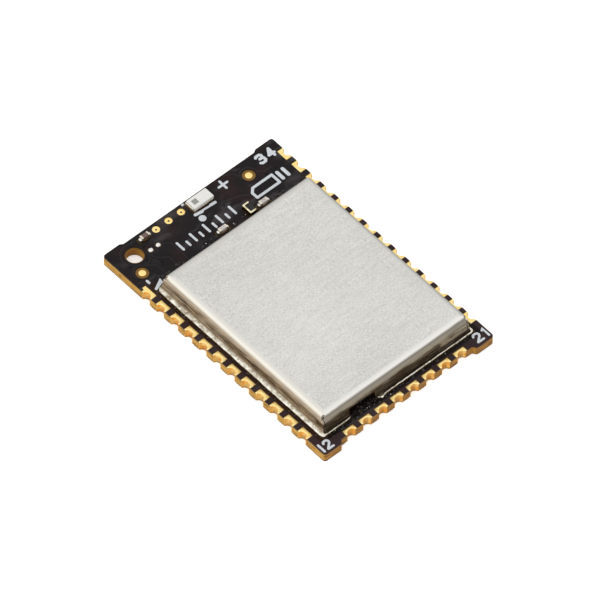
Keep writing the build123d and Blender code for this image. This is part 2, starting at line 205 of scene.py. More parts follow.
viewSettings = {
    "azimuth": -43.385,
    "elevation": 52.44,
    "roll": 1.738,
    "distance": 1.5,
    "lens": 1575.4,
    "clip": (0.05, 20),
    "middle": Vector((0, 0, 0.7)) * mm,
    "across": 0.1003 * mm,  # how far the picture's middle lies from the object's
    "up": -0.2599 * mm,
}


def setCamera(s):
    azimuth, elevation, roll = (math.radians(s[key]) for key in ("azimuth", "elevation", "roll"))
    level = math.cos(elevation)
    look = Vector((-math.sin(azimuth) * level, math.cos(azimuth) * level, -math.sin(elevation)))
    sideways = Vector((math.cos(azimuth), math.sin(azimuth), 0))
    upright = sideways.cross(look)
    right = math.cos(roll) * sideways + math.sin(roll) * upright
    up = math.cos(roll) * upright - math.sin(roll) * sideways
    aim = s["middle"] + right * s["across"] + up * s["up"]
    data = bpy.data.cameras.new("camera")
    data.lens = s["lens"]
    data.clip_start, data.clip_end = s["clip"]
    camera = bpy.data.objects.new("camera", data)
    turn = Matrix((right, up, -look)).transposed().to_4x4()
    camera.matrix_world = Matrix.Translation(aim - look * s["distance"]) @ turn
    bpy.context.scene.collection.objects.link(camera)
    bpy.context.scene.camera = camera


setCamera(viewSettings)
print("stage: camera")


# Light: a white room, two soft lamps and a pale floor

lightSettings = {
    "room": 0.80,  # what falls on the object, of 1
    "far": 0.34,  # how far off the lamps are
    "lamps": (
        {"name": "sideLamp", "toward": (-0.78, 0.16, 0.60), "size": 0.62, "power": 0.32},
        {"name": "frontLamp", "toward": (0.36, -0.66, 0.66), "size": 0.55, "power": 0.12},
    ),
    "floorSize": 3.0,
    "floorDrop": 0.004 * mm,
    "floorLift": 0.42,  # how much brighter the camera sees the floor
    "floorTones": (tone(248, 248, 248), tone(251, 251, 251)),
    "floorGrain": 0.2,
    "floorRough": 0.9,
}


def setLight(s):
    scene = bpy.context.scene
    scene.view_settings.view_transform = "Standard"
    scene.world = bpy.data.worlds.new("room")
    scene.world.use_nodes = True
    sky = Paint("room", scene.world.node_tree)
    rays = ("Is Camera Ray", "Is Glossy Ray", "Is Transmission Ray")
    direct, glossy, through = (sky.node("LightPath", out=ray) for ray in rays)
    seen = sky.sum("MAXIMUM", sky.sum("MAXIMUM", direct, glossy), through)
    strength = s["room"] + seen * (1 - s["room"])
    glow = sky.node("Background", {}, {"Color": (1, 1, 1, 1), "Strength": strength})
    sky.node("OutputWorld", {}, {"Surface": glow})
    for lamp in s["lamps"]:
        data = bpy.data.lights.new(lamp["name"], "AREA")
        data.shape = "DISK"
        data.size, data.energy = lamp["size"], lamp["power"]
        toward = Vector(lamp["toward"]).normalized()
        light = bpy.data.objects.new(lamp["name"], data)
        light.location = toward * s["far"]
        light.rotation_euler = toward.to_track_quat("Z", "Y").to_euler()
        scene.collection.objects.link(light)
    bm = bmesh.new()
    bmesh.ops.create_grid(bm, x_segments=1, y_segments=1, size=s["floorSize"] / 2)
    mesh = bpy.data.meshes.new("floor")
    bm.to_mesh(mesh)
    floor = bpy.data.objects.new("floor", mesh)
    floor.location.z = -s["floorDrop"]
    scene.collection.objects.link(floor)
    paint = Paint("paleFloor")
    matt = paint.node("BsdfPrincipled", {}, {
        "Base Color": paint.mix(*s["floorTones"], paint.grain(s["floorGrain"])),
        "Roughness": s["floorRough"],
        "Specular IOR Level": 0.0,
    })
    direct = paint.node("LightPath", out="Is Camera Ray")
    lift = paint.node("Emission", {}, {"Strength": direct * s["floorLift"]})
    both = paint.node("AddShader", {}, {0: matt, 1: lift})
    paint.node("OutputMaterial", {}, {"Surface": both})
    mesh.materials.append(paint.material)


setLight(lightSettings)
print("stage: light")


# Finishes: each keeps its tones and grains in a dictionary. A grain is its scale, detail, stretch and
# shift. A touch is a tone, the range over which it comes in, and its share

steelSettings = {
    "lean": {"sides": 0.13, "ends": 0.20},  # how far the can's rim stands in from its foot
    "grains": {
        "clouds": (0.5, 3),
        "brushed": (3.0, 3, (0.35, 1.4, 1.0)),
        "fleck": (14.0, 3, (0.45, 1.4, 1.0)),
        "scratch": (6.0, 3, (0.12, 1.7, 1.0), (4, 7, 1)),
        "drift": (0.16, 2, (1, 1, 1), (4, 9, 0)),
        "along": (2.0, 4, (0.35, 0.35, 3.0)),
        "hatch": (5.0, 4, (0.5, 0.5, 3.5), (3, 5, 1)),
        "dark": (3.0, 3, (0.30, 0.30, 3.0), (8, 2, 5)),
        "light": (3.0, 3, (0.20, 0.20, 4.2), (1, 6, 9)),
        "blotch": (1.1, 3, (0.55, 0.55, 1.6), (3, 3, 7)),
        "footBand": (0.5, 2, (1, 1, 0), (2, 6, 0)),
    },
    "grit": {"brushed": 0.9, "fleck": 2.9, "scratch": 0.7, "drift": 0.8},  # what shows on the top
    "bandSway": {"along": 0.42, "hatch": 0.26},  # what pushes the painted reflection bands of the walls up and down
    "footBandSway": {"footBand": 0.05},
    "sheet": (tone(194, 193, 188), tone(230, 229, 225)),
    "cloud": tone(213, 211, 206),
    "cloudShare": 0.3,
    "paintedRimLight": {  # bands along the rim, by how far in they reach: painted highlight on the left and near ones, painted shade on the right and far ones
        "left": {"tone": tone(225, 222, 215), "range": (0.44, 0.30), "share": 0.9},
        "near": {"tone": tone(230, 228, 224), "range": (0.44, 0.26), "share": 0.9},
        "right": {"tone": tone(206, 204, 198), "range": (0.42, 0.26), "share": 0.6},
        "far": {"tone": tone(202, 199, 193), "range": (0.48, 0.28), "share": 0.8},
    },
    "bandSwayRange": ((0.0, 0.25), (0.9, 0.66)),  # comes in and goes out with the height on the wall, 0 to 1
    "walls": {  # tones from the foot up, painted reflection of the bead, coat, pads and floor, with the near wall in painted shade; the right and far walls keep a plain, calmer tone
        "side": [
            (0.04, tone(190, 169, 140)),
            (0.14, tone(182, 158, 125)),
            (0.22, tone(184, 159, 128)),
            (0.30, tone(146, 122, 94)),
            (0.40, tone(120, 98, 73)),
            (0.50, tone(138, 117, 92)),
            (0.60, tone(183, 164, 143)),
            (0.72, tone(203, 188, 169)),
        ],
        "near": [
            (0.04, tone(50, 42, 28)),
            (0.20, tone(70, 60, 44)),
            (0.32, tone(86, 75, 60)),
            (0.43, tone(92, 80, 64)),
            (0.52, tone(137, 126, 109)),
            (0.59, tone(167, 158, 141)),
            (0.66, tone(172, 163, 148)),
            (0.78, tone(167, 159, 145)),
        ],
        "hidden": [
            (0.05, tone(168, 162, 148)),
            (0.20, tone(190, 185, 172)),
            (0.45, tone(164, 158, 144)),
            (0.75, tone(206, 202, 192)),
        ],
    },
    "facesNear": (0.6, 0.8),  # what counts as the near wall
    "facesAway": (0.4, 0.6),  # and as the right or far one
    "lower": (0.70, 0.42),  # heights on the wall over which the streaks come in
    "belly": (0.14, 0.24),  # and the blotches, which keep above the foot
    "nearCalm": 0.65,  # how much fainter the pale streaks are on the near wall
    "paintedStreaks": (  # touches of painted reflection, dark and pale, each with its grain and the zone of the wall that it is on
        ({"tone": tone(60, 44, 28), "range": (0.50, 0.62), "share": 0.70}, "blotch", "belly"),
        ({"tone": tone(214, 198, 172), "range": (0.46, 0.36), "share": 0.55}, "blotch", "belly"),
        ({"tone": tone(62, 44, 26), "range": (0.54, 0.62), "share": 0.62}, "dark", "lower"),
        ({"tone": tone(240, 226, 202), "range": (0.56, 0.66), "share": 0.62}, "light", "side"),
        ({"tone": tone(44, 32, 20), "range": (0.60, 0.68), "share": 0.6}, "hatch", "lower"),
    ),
    # pale and dark lines low on the side walls: painted reflection of the bead and the coat
    "footBandTones": [
        (0.085, tone(74, 54, 36)),
        (0.105, tone(222, 204, 180)),
        (0.125, tone(222, 204, 180)),
        (0.145, tone(66, 48, 32)),
        (0.175, tone(80, 58, 42)),
        (0.200, tone(206, 182, 160)),
        (0.225, tone(180, 156, 126)),
    ],
    "footBandSpan": ((0.075, 0.09), (0.235, 0.205)),
    "footBandShare": 0.75,
    "paintedRollLight": {  # the rolled edges, by how far up they face: painted highlight on the left roll, painted reflection of the coat low on the near roll, painted shade on the right and far rolls
        "side": [
            (0.10, tone(222, 208, 186)),
            (0.28, tone(224, 214, 196)),
            (0.50, tone(230, 224, 210)),
            (0.80, tone(226, 222, 211)),
            (1.0, tone(220, 217, 210)),
        ],
        "near": [
            (0.18, tone(151, 143, 131)),
            (0.42, tone(134, 129, 119)),
            (0.63, tone(156, 152, 145)),
            (0.78, tone(209, 206, 200)),
            (0.88, tone(228, 225, 220)),
            (1.0, tone(228, 226, 222)),
        ],
        "far": [
            (0.3, tone(84, 80, 74)),
            (0.6, tone(136, 133, 126)),
            (0.88, tone(180, 178, 172)),
            (1.0, tone(203, 201, 196)),
        ],
    },
    "rollTurn": (0.0, 0.12),  # how far a rolled edge turns to the near or the hidden sides
    "level": (0.955, 0.998),  # what counts as the top, by how far it faces up
    "upright": (0.34, 0.16),  # and as a wall
    "wallDull": 0.45,  # how much less metallic the upright walls are
    "rough": (0.38, 0.14),  # least, and how much the grain adds
    "fleckDeep": 0.003,
    "strokeDeep": 0.005,
    "shine": 0.1,
}


def shieldSteel(s):
    paint = Paint("shieldSteel")
    x, y, z = map(paint.where, "xyz")
    nx, ny, nz = map(paint.facing, "xyz")
    grains = paint.grains(s["grains"])
    sheet = paint.mix(*s["sheet"], paint.sway(grains, s["grit"]) + 0.5)
    sheet = paint.mix(sheet, s["cloud"], grains["clouds"] * s["cloudShare"])
    fromRim = {
        "left": x - (canLow.x + s["lean"]["sides"]),
        "near": y - (canLow.y + s["lean"]["ends"]),
        "right": canHigh.x - s["lean"]["sides"] - x,
        "far": canHigh.y - s["lean"]["ends"] - y,
    }
    # painted highlight and shade along the rim of the top
    for name, margin in s["paintedRimLight"].items():
        sheet = paint.touch(sheet, fromRim[name], margin)
    rise = (z - canLow.z) * (1 / (canHigh.z - canLow.z))
    lift = rise + paint.sway(grains, s["bandSway"]) * paint.band(rise, *s["bandSwayRange"])
    # painted reflection and shade on the walls, by height
    walls = {name: paint.ramp(lift, stops) for name, stops in s["walls"].items()}
    nearShare = paint.step(0 - ny, *s["facesNear"])
    hiddenShare = paint.step(paint.sum("MAXIMUM", nx, ny), *s["facesAway"])
    wall = paint.mix(walls["side"], walls["near"], nearShare)
    lower = paint.step(rise, *s["lower"]) * (1 - hiddenShare)
    zones = {
        "lower": lower,
        "side": lower * (1 - nearShare * s["nearCalm"]),
        "belly": lower * paint.step(rise, *s["belly"]),
    }
    # dark and pale streaks and blotches: painted reflection
    for tint, grain, zone in s["paintedStreaks"]:
        wall = paint.touch(wall, grains[grain], tint, zones[zone])
    # painted reflection of the bead and the coat, low on the side walls
    footBand = rise + paint.sway(grains, s["footBandSway"])
    onFootBand = paint.band(footBand, *s["footBandSpan"]) * (1 - nearShare) * (1 - hiddenShare)
    wall = paint.mix(wall, paint.ramp(footBand, s["footBandTones"]), onFootBand * s["footBandShare"])
    wall = paint.mix(wall, walls["hidden"], hiddenShare)
    # painted highlight, reflection and shade on the rolled edges
    paintedRollLight = {name: paint.ramp(nz, stops) for name, stops in s["paintedRollLight"].items()}
    roll = paint.mix(paintedRollLight["side"], paintedRollLight["near"], paint.step(0 - ny, *s["rollTurn"]))
    roll = paint.mix(roll, paintedRollLight["far"], paint.step(nx + ny, *s["rollTurn"]))
    upright = paint.step(nz, *s["upright"])
    colour = paint.mix(paint.mix(roll, wall, upright), sheet, paint.step(nz, *s["level"]))
    return paint.finish(
        Base_Color=colour,
        Metallic=1 - upright * s["wallDull"],
        Roughness=s["rough"][0] + s["rough"][1] * grains["brushed"],
        Normal=paint.bump(grains["brushed"], s["strokeDeep"], paint.bump(grains["fleck"], s["fleckDeep"])),
        Specular_IOR_Level=s["shine"],
    )


goldSettings = {
    "grains": {"patch": (2.4, 3), "spots": (9.0, 3)},
    "flat": (0.35, 0.85),
    "top": (tone(255, 240, 174), tone(255, 214, 118)),
    "spots": {"tone": tone(228, 172, 66), "range": (0.56, 0.68), "share": 0.55},
    "rim": {"tone": tone(255, 250, 214), "range": (0.97, 0.80), "share": 0.7},  # painted highlight along the rounded rims
    # the walls take deeper tones than the top: painted reflection of gold in gold
    "wall": (tone(255, 222, 138), tone(255, 182, 74)),
    "wallPatch": (0.36, 0.62),
    # painted shade on the walls that face the near side
    "near": {"tone": tone(206, 140, 34), "range": (0.55, 0.95), "share": 0.6},
    "foot": {"tone": tone(130, 82, 20), "range": (0.16, 0.05), "share": 0.5},
    "metal": (0.9, 0.35),  # on the top, and how much less on the walls
    "rough": (0.30, 0.14),
    "pitDeep": 0.006,
    "shine": 0.3,
}


def goldPlate(s):
    paint = Paint("goldPlate")
    ny, nz = map(paint.facing, "yz")
    grains = paint.grains(s["grains"])
    flat = paint.step(nz, *s["flat"])
    top = paint.mix(*s["top"], grains["patch"])
    top = paint.touch(top, grains["spots"], s["spots"])
    # painted highlight on the rims
    top = paint.touch(top, nz, s["rim"])
    # painted reflection and shade on the walls
    wall = paint.mix(*s["wall"], paint.step(grains["patch"], *s["wallPatch"]))
    wall = paint.touch(wall, 0 - ny, s["near"])
    wall = paint.touch(wall, paint.where("z"), s["foot"])
    return paint.finish(
        Base_Color=paint.mix(wall, top, flat),
        Metallic=s["metal"][0] - (1 - flat) * s["metal"][1],
        Roughness=s["rough"][0] + s["rough"][1] * grains["patch"],
        Normal=paint.bump(grains["spots"], s["pitDeep"]),
        Specular_IOR_Level=s["shine"],
    )


laminateSettings = {
    "grains": {
        "weave": (3.0, 4, (0.5, 0.5, 6.0)),
        "burn": (1.2, 3, (1, 1, 3), (6, 1, 2)),
        "face": (2.0, 2),
    },
    "flat": (0.5, 0.9),
    # lit and shaded copies of the edge tones: the edges facing the near side take the darker ramp as
    # painted shade
    "pale": [(0.34, tone(156, 106, 18)), (0.48, tone(200, 148, 48)), (0.60, tone(220, 172, 78))],
    "dark": [(0.34, tone(98, 58, 6)), (0.48, tone(154, 102, 20)), (0.60, tone(186, 130, 34))],
    "facesNear": (0.1, 0.8),
    "burn": {"tone": tone(112, 70, 14), "range": (0.56, 0.66), "share": 0.5},
    "underMask": {"tone": tone(52, 34, 14), "range": (-0.10, -0.01), "share": 0.8},
    "face": (tone(104, 70, 10), tone(158, 112, 26)),
    "rough": (0.42, 0.2),
    "ribDeep": 0.012,
    "shine": 0.4,
}


def laminateFibre(s):
    paint = Paint("laminateFibre")
    ny, nz = map(paint.facing, "yz")
    grains = paint.grains(s["grains"])
    flat = paint.step(paint.size(nz), *s["flat"])
    pale, dark = (paint.ramp(grains["weave"], s[name]) for name in ("pale", "dark"))
    # painted shade on the edges that face the near side
    edge = paint.mix(pale, dark, paint.step(0 - ny, *s["facesNear"]))
    edge = paint.touch(edge, grains["burn"], s["burn"])
    edge = paint.touch(edge, paint.where("z") - laminateTop, s["underMask"])
    face = paint.mix(*s["face"], grains["face"])
    return paint.finish(
        Base_Color=paint.mix(edge, face, flat),
        Roughness=s["rough"][0] + s["rough"][1] * grains["weave"],
        Normal=paint.bump(grains["weave"], s["ribDeep"]),
        Specular_IOR_Level=s["shine"],
    )


coatSettings = {
    "grains": {
        "cloud": (0.8, 3),
        "warm": (0.6, 2, (1, 1, 1), (7, 3, 0)),
        "paintedSheen": (0.8, 4, (0.6, 1.4, 1), (2, 8, 0)),
        "speck": (8.0, 2, (1, 1, 1), (5, 5, 2)),
        "relief": (0.9, 1),
        "lumps": (3.0, 3),
        "skin": (9, 2),
    },
    "coat": (tone(17, 14, 16), tone(36, 32, 34)),
    "warm": {"tone": tone(52, 32, 30), "range": (0.45, 0.7), "share": 0.5},
    # painted sheen: pale patches that stand for glossy reflection
    "paintedSheen": {"tone": tone(74, 69, 70), "range": (0.50, 0.66), "share": 0.65},
    "gutter": (0.50, 0.34),  # by the can, where flux has stained the coat and painted shade darkens it
    "gutterSway": {"cloud": 0.3},
    "tint": (tone(14, 6, 2), tone(48, 26, 5)),  # in general, and left of the can: flux stain and painted shade
    "leftOfCan": (0.0, -0.10),
    "tintShare": 0.9,
    # painted glints: pale specks in the gutter
    "speck": {"tone": tone(118, 108, 98), "range": (0.62, 0.70), "share": 0.8},
    # painted highlight on the raised ridges
    "ridgeHighlight": {"tone": tone(56, 51, 53), "range": (0.001, 0.008), "share": 0.4},
    # painted shade inside the dimples
    "pitShade": tone(8, 6, 6),
    "pitDepth": (-0.012, -0.034),
    "teeth": {"tone": tone(62, 44, 45), "range": (0.42, 0.55), "share": 0.65},  # between the pads
    "teethEnd": (0.3, 0.0),
    "side": {"tone": tone(30, 18, 10), "range": (-0.020, -0.030), "share": 0.6},
    "upperCoat": (-0.2, -0.1),  # the lower coat is smoother
    "reliefEdge": (0.44, 0.56),
    "reliefDeep": 0.012,
    "lumpDeep": 0.010,
    "skinDeep": 0.003,
    "rough": (0.26, 0.16),
    "shine": 0.10,
}


def blackMask(s):
    paint = Paint("blackMask")
    x, y, z = map(paint.where, "xyz")
    grains = paint.grains(s["grains"])
    awayX = paint.sum("MAXIMUM", canLow.x - x, x - canHigh.x)
    awayY = paint.sum("MAXIMUM", canLow.y - y, y - canHigh.y)
    away = paint.sum("MAXIMUM", awayX, awayY)
    height = z - maskTop
    colour = paint.mix(*s["coat"], grains["cloud"])
    colour = paint.touch(colour, grains["warm"], s["warm"])
    # painted sheen on the coat
    colour = paint.touch(colour, grains["paintedSheen"], s["paintedSheen"])
    # flux stain and painted shade in the gutter by the can
    gutter = paint.step(away + paint.sway(grains, s["gutterSway"]), *s["gutter"])
    tint = paint.mix(*s["tint"], paint.step(x - canLow.x, *s["leftOfCan"]))
    colour = paint.mix(colour, tint, gutter * s["tintShare"])
    # painted glints in the gutter
    colour = paint.touch(colour, grains["speck"], s["speck"], gutter)
    colour = paint.touch(colour, height, s["ridgeHighlight"])
    # painted shade, darker with depth in the dimples
    pitShade = paint.step(height, *s["pitDepth"])
    colour = paint.mix(colour, s["pitShade"], pitShade)
    colour = paint.touch(colour, away, s["teeth"], paint.step(y - canHigh.y, *s["teethEnd"]))
    colour = paint.touch(colour, height, s["side"], 1 - pitShade)
    upper = paint.step(z - landTop, *s["upperCoat"])
    relief = paint.bump(paint.step(grains["relief"], *s["reliefEdge"]) * upper, s["reliefDeep"])
    lumps = paint.bump(grains["lumps"] * upper, s["lumpDeep"], relief)
    return paint.finish(
        Base_Color=colour,
        Roughness=s["rough"][0] + s["rough"][1] * grains["cloud"],
        Normal=paint.bump(grains["skin"], s["skinDeep"], lumps),
        Specular_IOR_Level=s["shine"],
    )


inkSettings = {
    "grain": (3.5, 3),
    "tones": (tone(204, 209, 214), tone(224, 228, 232)),
    "rough": (0.5, 0.2),
    "deep": 0.004,
    "shine": 0.3,
}


def legendInkPaint(s):
    paint = Paint("legendInkPaint")
    cloud = paint.grain(*s["grain"])
    return paint.finish(
        Base_Color=paint.mix(*s["tones"], cloud),
        Roughness=s["rough"][0] + s["rough"][1] * cloud,
        Normal=paint.bump(cloud, s["deep"]),
        Specular_IOR_Level=s["shine"],
    )


solderSettings = {
    "grains": {"dull": (5.0, 3), "grit": (12.0, 2), "flux": (2.6, 4, (1, 1, 3))},
    "bright": (tone(226, 222, 208), tone(184, 174, 152)),
    "dull": (0.40, 0.66),
    "glint": {"tone": tone(252, 250, 242), "range": (0.58, 0.68), "share": 0.8},
    "flux": tone(112, 96, 70),
    "fluxPatch": (0.50, 0.62),
    "fluxShare": {"all": 0.30, "far": 0.30, "near": 0.12},  # what the far end and the near strip add
    "nearStrip": (0.06, -0.02),
    "foot": {"tone": tone(46, 36, 22), "range": (0.03, 0.004), "share": 0.8},
    "rough": (0.26, 0.2),
    "deep": 0.014,
}


def brightSolder(s):
    paint = Paint("brightSolder")
    y, z = map(paint.where, "yz")
    grains = paint.grains(s["grains"])
    bright = paint.mix(*s["bright"], paint.step(grains["dull"], *s["dull"]))
    bright = paint.touch(bright, grains["grit"], s["glint"])
    near = paint.step(y - canLow.y, *s["nearStrip"])
    far = paint.step(y, 0, canHigh.y)
    share = s["fluxShare"]["all"] + s["fluxShare"]["far"] * far + s["fluxShare"]["near"] * near
    colour = paint.mix(bright, s["flux"], paint.step(grains["flux"], *s["fluxPatch"]) * share)
    return paint.finish(
        Base_Color=paint.touch(colour, z - landTop, s["foot"]),
        Metallic=1.0,
        Roughness=s["rough"][0] + s["rough"][1] * grains["dull"],
        Normal=paint.bump(grains["dull"], s["deep"]),
    )


ceramicSettings = {
    "grains": {"speck": (11, 3), "cloud": (1.6, 2)},
    "speckRange": (0.3, 0.6),
    "cloudShare": 0.4,
    "roughSway": 0.1,
    "deep": 0.003,
    "shine": 0.4,
}


def ceramic(name, light, dark, rough=0.45):
    s = ceramicSettings
    paint = Paint(name)
    grains = paint.grains(s["grains"])
    colour = paint.mix(dark, light, paint.step(grains["speck"], *s["speckRange"]))
    return paint.finish(
        Base_Color=paint.mix(colour, light, grains["cloud"] * s["cloudShare"]),
        Roughness=rough + s["roughSway"] * grains["speck"],
        Normal=paint.bump(grains["speck"], s["deep"]),
        Specular_IOR_Level=s["shine"],
    )


platedSettings = {"patch": (4.0, 3), "roughSway": 0.15, "deep": 0.006}


def plated(name, light, dark, rough=0.28):
    s = platedSettings
    paint = Paint(name)
    patch = paint.grain(*s["patch"])
    return paint.finish(
        Base_Color=paint.mix(dark, light, patch),
        Metallic=1.0,
        Roughness=rough + s["roughSway"] * patch,
        Normal=paint.bump(patch, s["deep"]),
    )


bracketSettings = {
    "patch": (5.0, 3),
    "top": (tone(250, 240, 206), tone(206, 192, 142)),
    "topPatch": (0.4, 0.65),
    # painted shade on the sides, below the lit top
    "wall": tone(66, 54, 28),
    "facesUp": (0.25, 0.8),
    "metal": 0.9,
    "rough": (0.3, 0.2),
    "deep": 0.01,
}


def bracketPlate(s):
    paint = Paint("bracketPlate")
    patch = paint.grain(*s["patch"])
    top = paint.mix(*s["top"], paint.step(patch, *s["topPatch"]))
    return paint.finish(
        # painted shade on the sides
        Base_Color=paint.mix(s["wall"], top, paint.step(paint.facing("z"), *s["facesUp"])),
        Metallic=s["metal"],
        Roughness=s["rough"][0] + s["rough"][1] * patch,
        Normal=paint.bump(patch, s["deep"]),
    )


finishes = {
    "laminate": laminateFibre(laminateSettings),
    "solder_mask": blackMask(coatSettings),
    "gold_plate": goldPlate(goldSettings),
    "shield_steel": shieldSteel(steelSettings),
    "solder": brightSolder(solderSettings),
    "white_ceramic": ceramic("whiteCeramic", tone(241, 240, 236), tone(231, 229, 223), 0.35),
    "brown_ceramic": ceramic("brownCeramic", tone(118, 98, 90), tone(78, 58, 50)),
    "grey_ceramic": ceramic("greyCeramic", tone(216, 208, 205), tone(184, 173, 169)),
    "cap_metal": plated("capMetal", tone(240, 234, 220), tone(206, 196, 178), 0.34),
    "chip_black": ceramic("chipBlack", tone(30, 29, 30), tone(16, 15, 16), 0.5),
    "core_grey": ceramic("coreGrey", tone(92, 92, 94), tone(68, 68, 70), 0.6),
    "lid_metal": plated("lidMetal", tone(222, 214, 196), tone(196, 186, 166)),
    "legend": legendInkPaint(inkSettings),
    "mark": ceramic("markGrey", tone(156, 157, 151), tone(142, 143, 137), 0.5),
    "tinned": plated("tinnedLand", tone(96, 84, 64), tone(52, 44, 32), 0.4),
    "bracket": bracketPlate(bracketSettings),
    "joint": plated("jointSolder", tone(244, 243, 239), tone(214, 210, 202), 0.3),
    "flux": ceramic("fluxResidue", tone(16, 11, 9), tone(4, 3, 2), 0.12),
}
underSolder = ("shield_land", "component_lands")  # lands that flux and solder have darkened
for row in frame["record"]["subparts"]:
    slots = cadNodes[row["node"]].material_slots
    for slot in slots:
        slot.link = "OBJECT"
        slot.material = finishes["tinned" if row["node"] in underSolder else row["material_slot"]]
print("stage: finishes")


# Making pieces: meshes are worked in millimetres and scaled at the end

meshSettings = {
    "weld": 1e-4,
    "flat": 1,  # degrees, below which an edge between two faces goes
    "wallTilt": 0.3,  # the most that a wall faces up
    "topTilt": 0.9,  # and the least that a top does
    "capSteps": 8,
    "mitre": 0.6,  # keeps a stroke's sharp corners from reaching far out
    "thinnest": 0.48,  # the most of a block's least side that its rounding may take
}


def editable(mesh):
    bm = bmesh.new()
    bm.from_mesh(mesh)
    return bm


def simplified(bm):  # doubled points are made one, and edges inside flat faces go
    angle = math.radians(meshSettings["flat"])
    bmesh.ops.remove_doubles(bm, verts=bm.verts, dist=meshSettings["weld"])
    bmesh.ops.dissolve_limit(bm, angle_limit=angle, verts=bm.verts, edges=bm.edges)
    return bm


def weldedCopy(node):
    bm = editable(cadNodes[node].data)
    bm.transform(Matrix.Scale(1 / mm, 4))
    return simplified(bm)


def roundEdges(bm, edges, width, steps=2):
    bmesh.ops.bevel(
        bm, geom=edges, offset=width, offset_type="OFFSET", segments=steps, profile=0.5,
        affect="EDGES", clamp_overlap=True,
    )


def upperRims(bm):  # edges between a level top and the wall below it
    rims = []
    for edge in bm.edges:
        tilts = sorted(face.normal.z for face in edge.link_faces)
        if len(tilts) == 2 and tilts[0] < meshSettings["wallTilt"] and tilts[1] > meshSettings["topTilt"]:
            rims.append(edge)
    return rims


def meshFrom(bm, name):
    bmesh.ops.recalc_face_normals(bm, faces=bm.faces)
    mesh = bpy.data.meshes.new(name)
    bm.to_mesh(mesh)
    bm.free()
    return mesh


def joinedMesh(base, others, operation):  # a boolean of meshes in millimetres
    scene = bpy.context.scene
    host = bpy.data.objects.new("host", base)
    scene.collection.objects.link(host)
    guests = []
    for other in others:
        guest = bpy.data.objects.new("guest", other)
        scene.collection.objects.link(guest)
        guests.append(guest)
        cut = host.modifiers.new("cut", "BOOLEAN")
        cut.operation, cut.object, cut.solver = operation, guest, "EXACT"
    bpy.context.view_layer.update()
    result = bpy.data.meshes.new_from_object(host.evaluated_get(bpy.context.evaluated_depsgraph_get()))
    for helper in [host, *guests]:
        bpy.data.objects.remove(helper)
    return result


def addPiece(name, mesh, finish, slot, *nodes, sharp=50):
    mesh.transform(Matrix.Scale(mm, 4))
    mesh.materials.clear()
    mesh.materials.append(finishes[finish])
    mesh.shade_smooth()
    mesh.set_sharp_from_angle(angle=math.radians(sharp))
    piece = bpy.data.objects.new(name, mesh)
    bpy.context.scene.collection.objects.link(piece)
    even = piece.modifiers.new("evenNormals", "WEIGHTED_NORMAL")  # keeps broad faces flat beside soft rims
    even.keep_sharp, even.weight = True, 100
    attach(piece, "root")
    if nodes:
        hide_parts(*nodes)
    return piece


def disc(centre, low, high, radius, upper, sides=28):  # a short cone or cylinder
    bm = bmesh.new()
    turn = Matrix.Translation((centre[0], centre[1], (low + high) / 2))
    bmesh.ops.create_cone(
        bm, cap_ends=True, segments=sides, radius1=radius, radius2=upper, depth=high - low, matrix=turn
    )
    return meshFrom(bm, "disc")


def turned(bm, centre, profile, sides=36):  # a shape turned about a vertical axis, from the middle out
    rings = []
    for radius, height in profile:
        if radius == 0:
            rings.append([bm.verts.new((centre[0], centre[1], height))])
            continue
        angles = [2 * math.pi * index / sides for index in range(sides)]
        rings.append([
            bm.verts.new((centre[0] + radius * math.cos(a), centre[1] + radius * math.sin(a), height))
            for a in angles
        ])
    for inner, outer in zip(rings, rings[1:]):
        for index in range(sides):
            after = (index + 1) % sides
            if len(inner) == 1:
                bm.faces.new((inner[0], outer[index], outer[after]))
            elif len(outer) == 1:
                bm.faces.new((inner[index], outer[0], inner[after]))
            else:
                bm.faces.new((inner[index], outer[index], outer[after], inner[after]))


def dome(wide, low, tall, degrees):  # a quarter round from the top to the foot, and back to the middle
    turns = [math.radians(a) for a in range(0, 91, degrees)]
    return [*((wide * math.sin(a), low + tall * math.cos(a)) for a in turns), (0, low)]


def block(bm, low, high, width, steps=3):  # a block with rounded edges
    size = Vector(high) - Vector(low)
    middle = (Vector(high) + Vector(low)) / 2
    placed = Matrix.Translation(middle) @ Matrix.Diagonal((*size, 1))
    made = bmesh.ops.create_cube(bm, size=1.0, matrix=placed)
    edges = list({edge for vert in made["verts"] for edge in vert.link_edges})
    roundEdges(bm, edges, min(width, min(size) * meshSettings["thinnest"]), steps)


def ringMesh(centre, low, high, inner, outer, sides=56):
    bm = bmesh.new()
    turned(bm, centre, ((inner, low), (inner, high), (outer, high), (outer, low), (inner, low)), sides)
    bmesh.ops.remove_doubles(bm, verts=bm.verts, dist=meshSettings["weld"])
    return meshFrom(bm, "ring")


# Upper coat of mask: soft rims, a close collar at the locating hole, a dimple over each covered via

maskSettings = {
    "rim": 0.028,
    "collar": (0.575, 0.70),  # inner and outer radius
    "dimples": (
        (0.71, 0.64), (0.63, 1.66), (2.23, 1.05), (1.69, 1.92), (2.26, 2.00), (2.26, 2.58),
        (7.67, 1.87), (8.20, 2.53), (11.00, 1.77), (11.74, 1.06), (11.74, 1.77), (11.63, 2.49),
    ),
    "dimpleWide": 0.10,
    "dimpleFloor": 0.05,
    "dimpleDeep": 0.038,
    "dimpleOver": 0.01,
    "dimpleSides": 16,
}


def makeMask(s):
    collar = ringMesh(place(*holeAt), laminateTop, maskTop, *s["collar"])
    whole = joinedMesh(meshFrom(weldedCopy("solder_mask_top"), "coat"), [collar], "UNION")
    bm = simplified(editable(whole))
    roundEdges(bm, upperRims(bm), s["rim"])
    low, high = maskTop - s["dimpleDeep"], maskTop + s["dimpleOver"]
    pits = [
        disc(place(*spot), low, high, s["dimpleFloor"], s["dimpleWide"], s["dimpleSides"])
        for spot in s["dimples"]
    ]
    coat = joinedMesh(meshFrom(bm, "coat"), pits, "DIFFERENCE")
    addPiece("maskCoat", coat, "solder_mask", "solder_mask", "solder_mask_top", sharp=60)


makeMask(maskSettings)
print("stage: mask")


# Copper under the mask, which shows as low ridges: paths and arcs with their widths

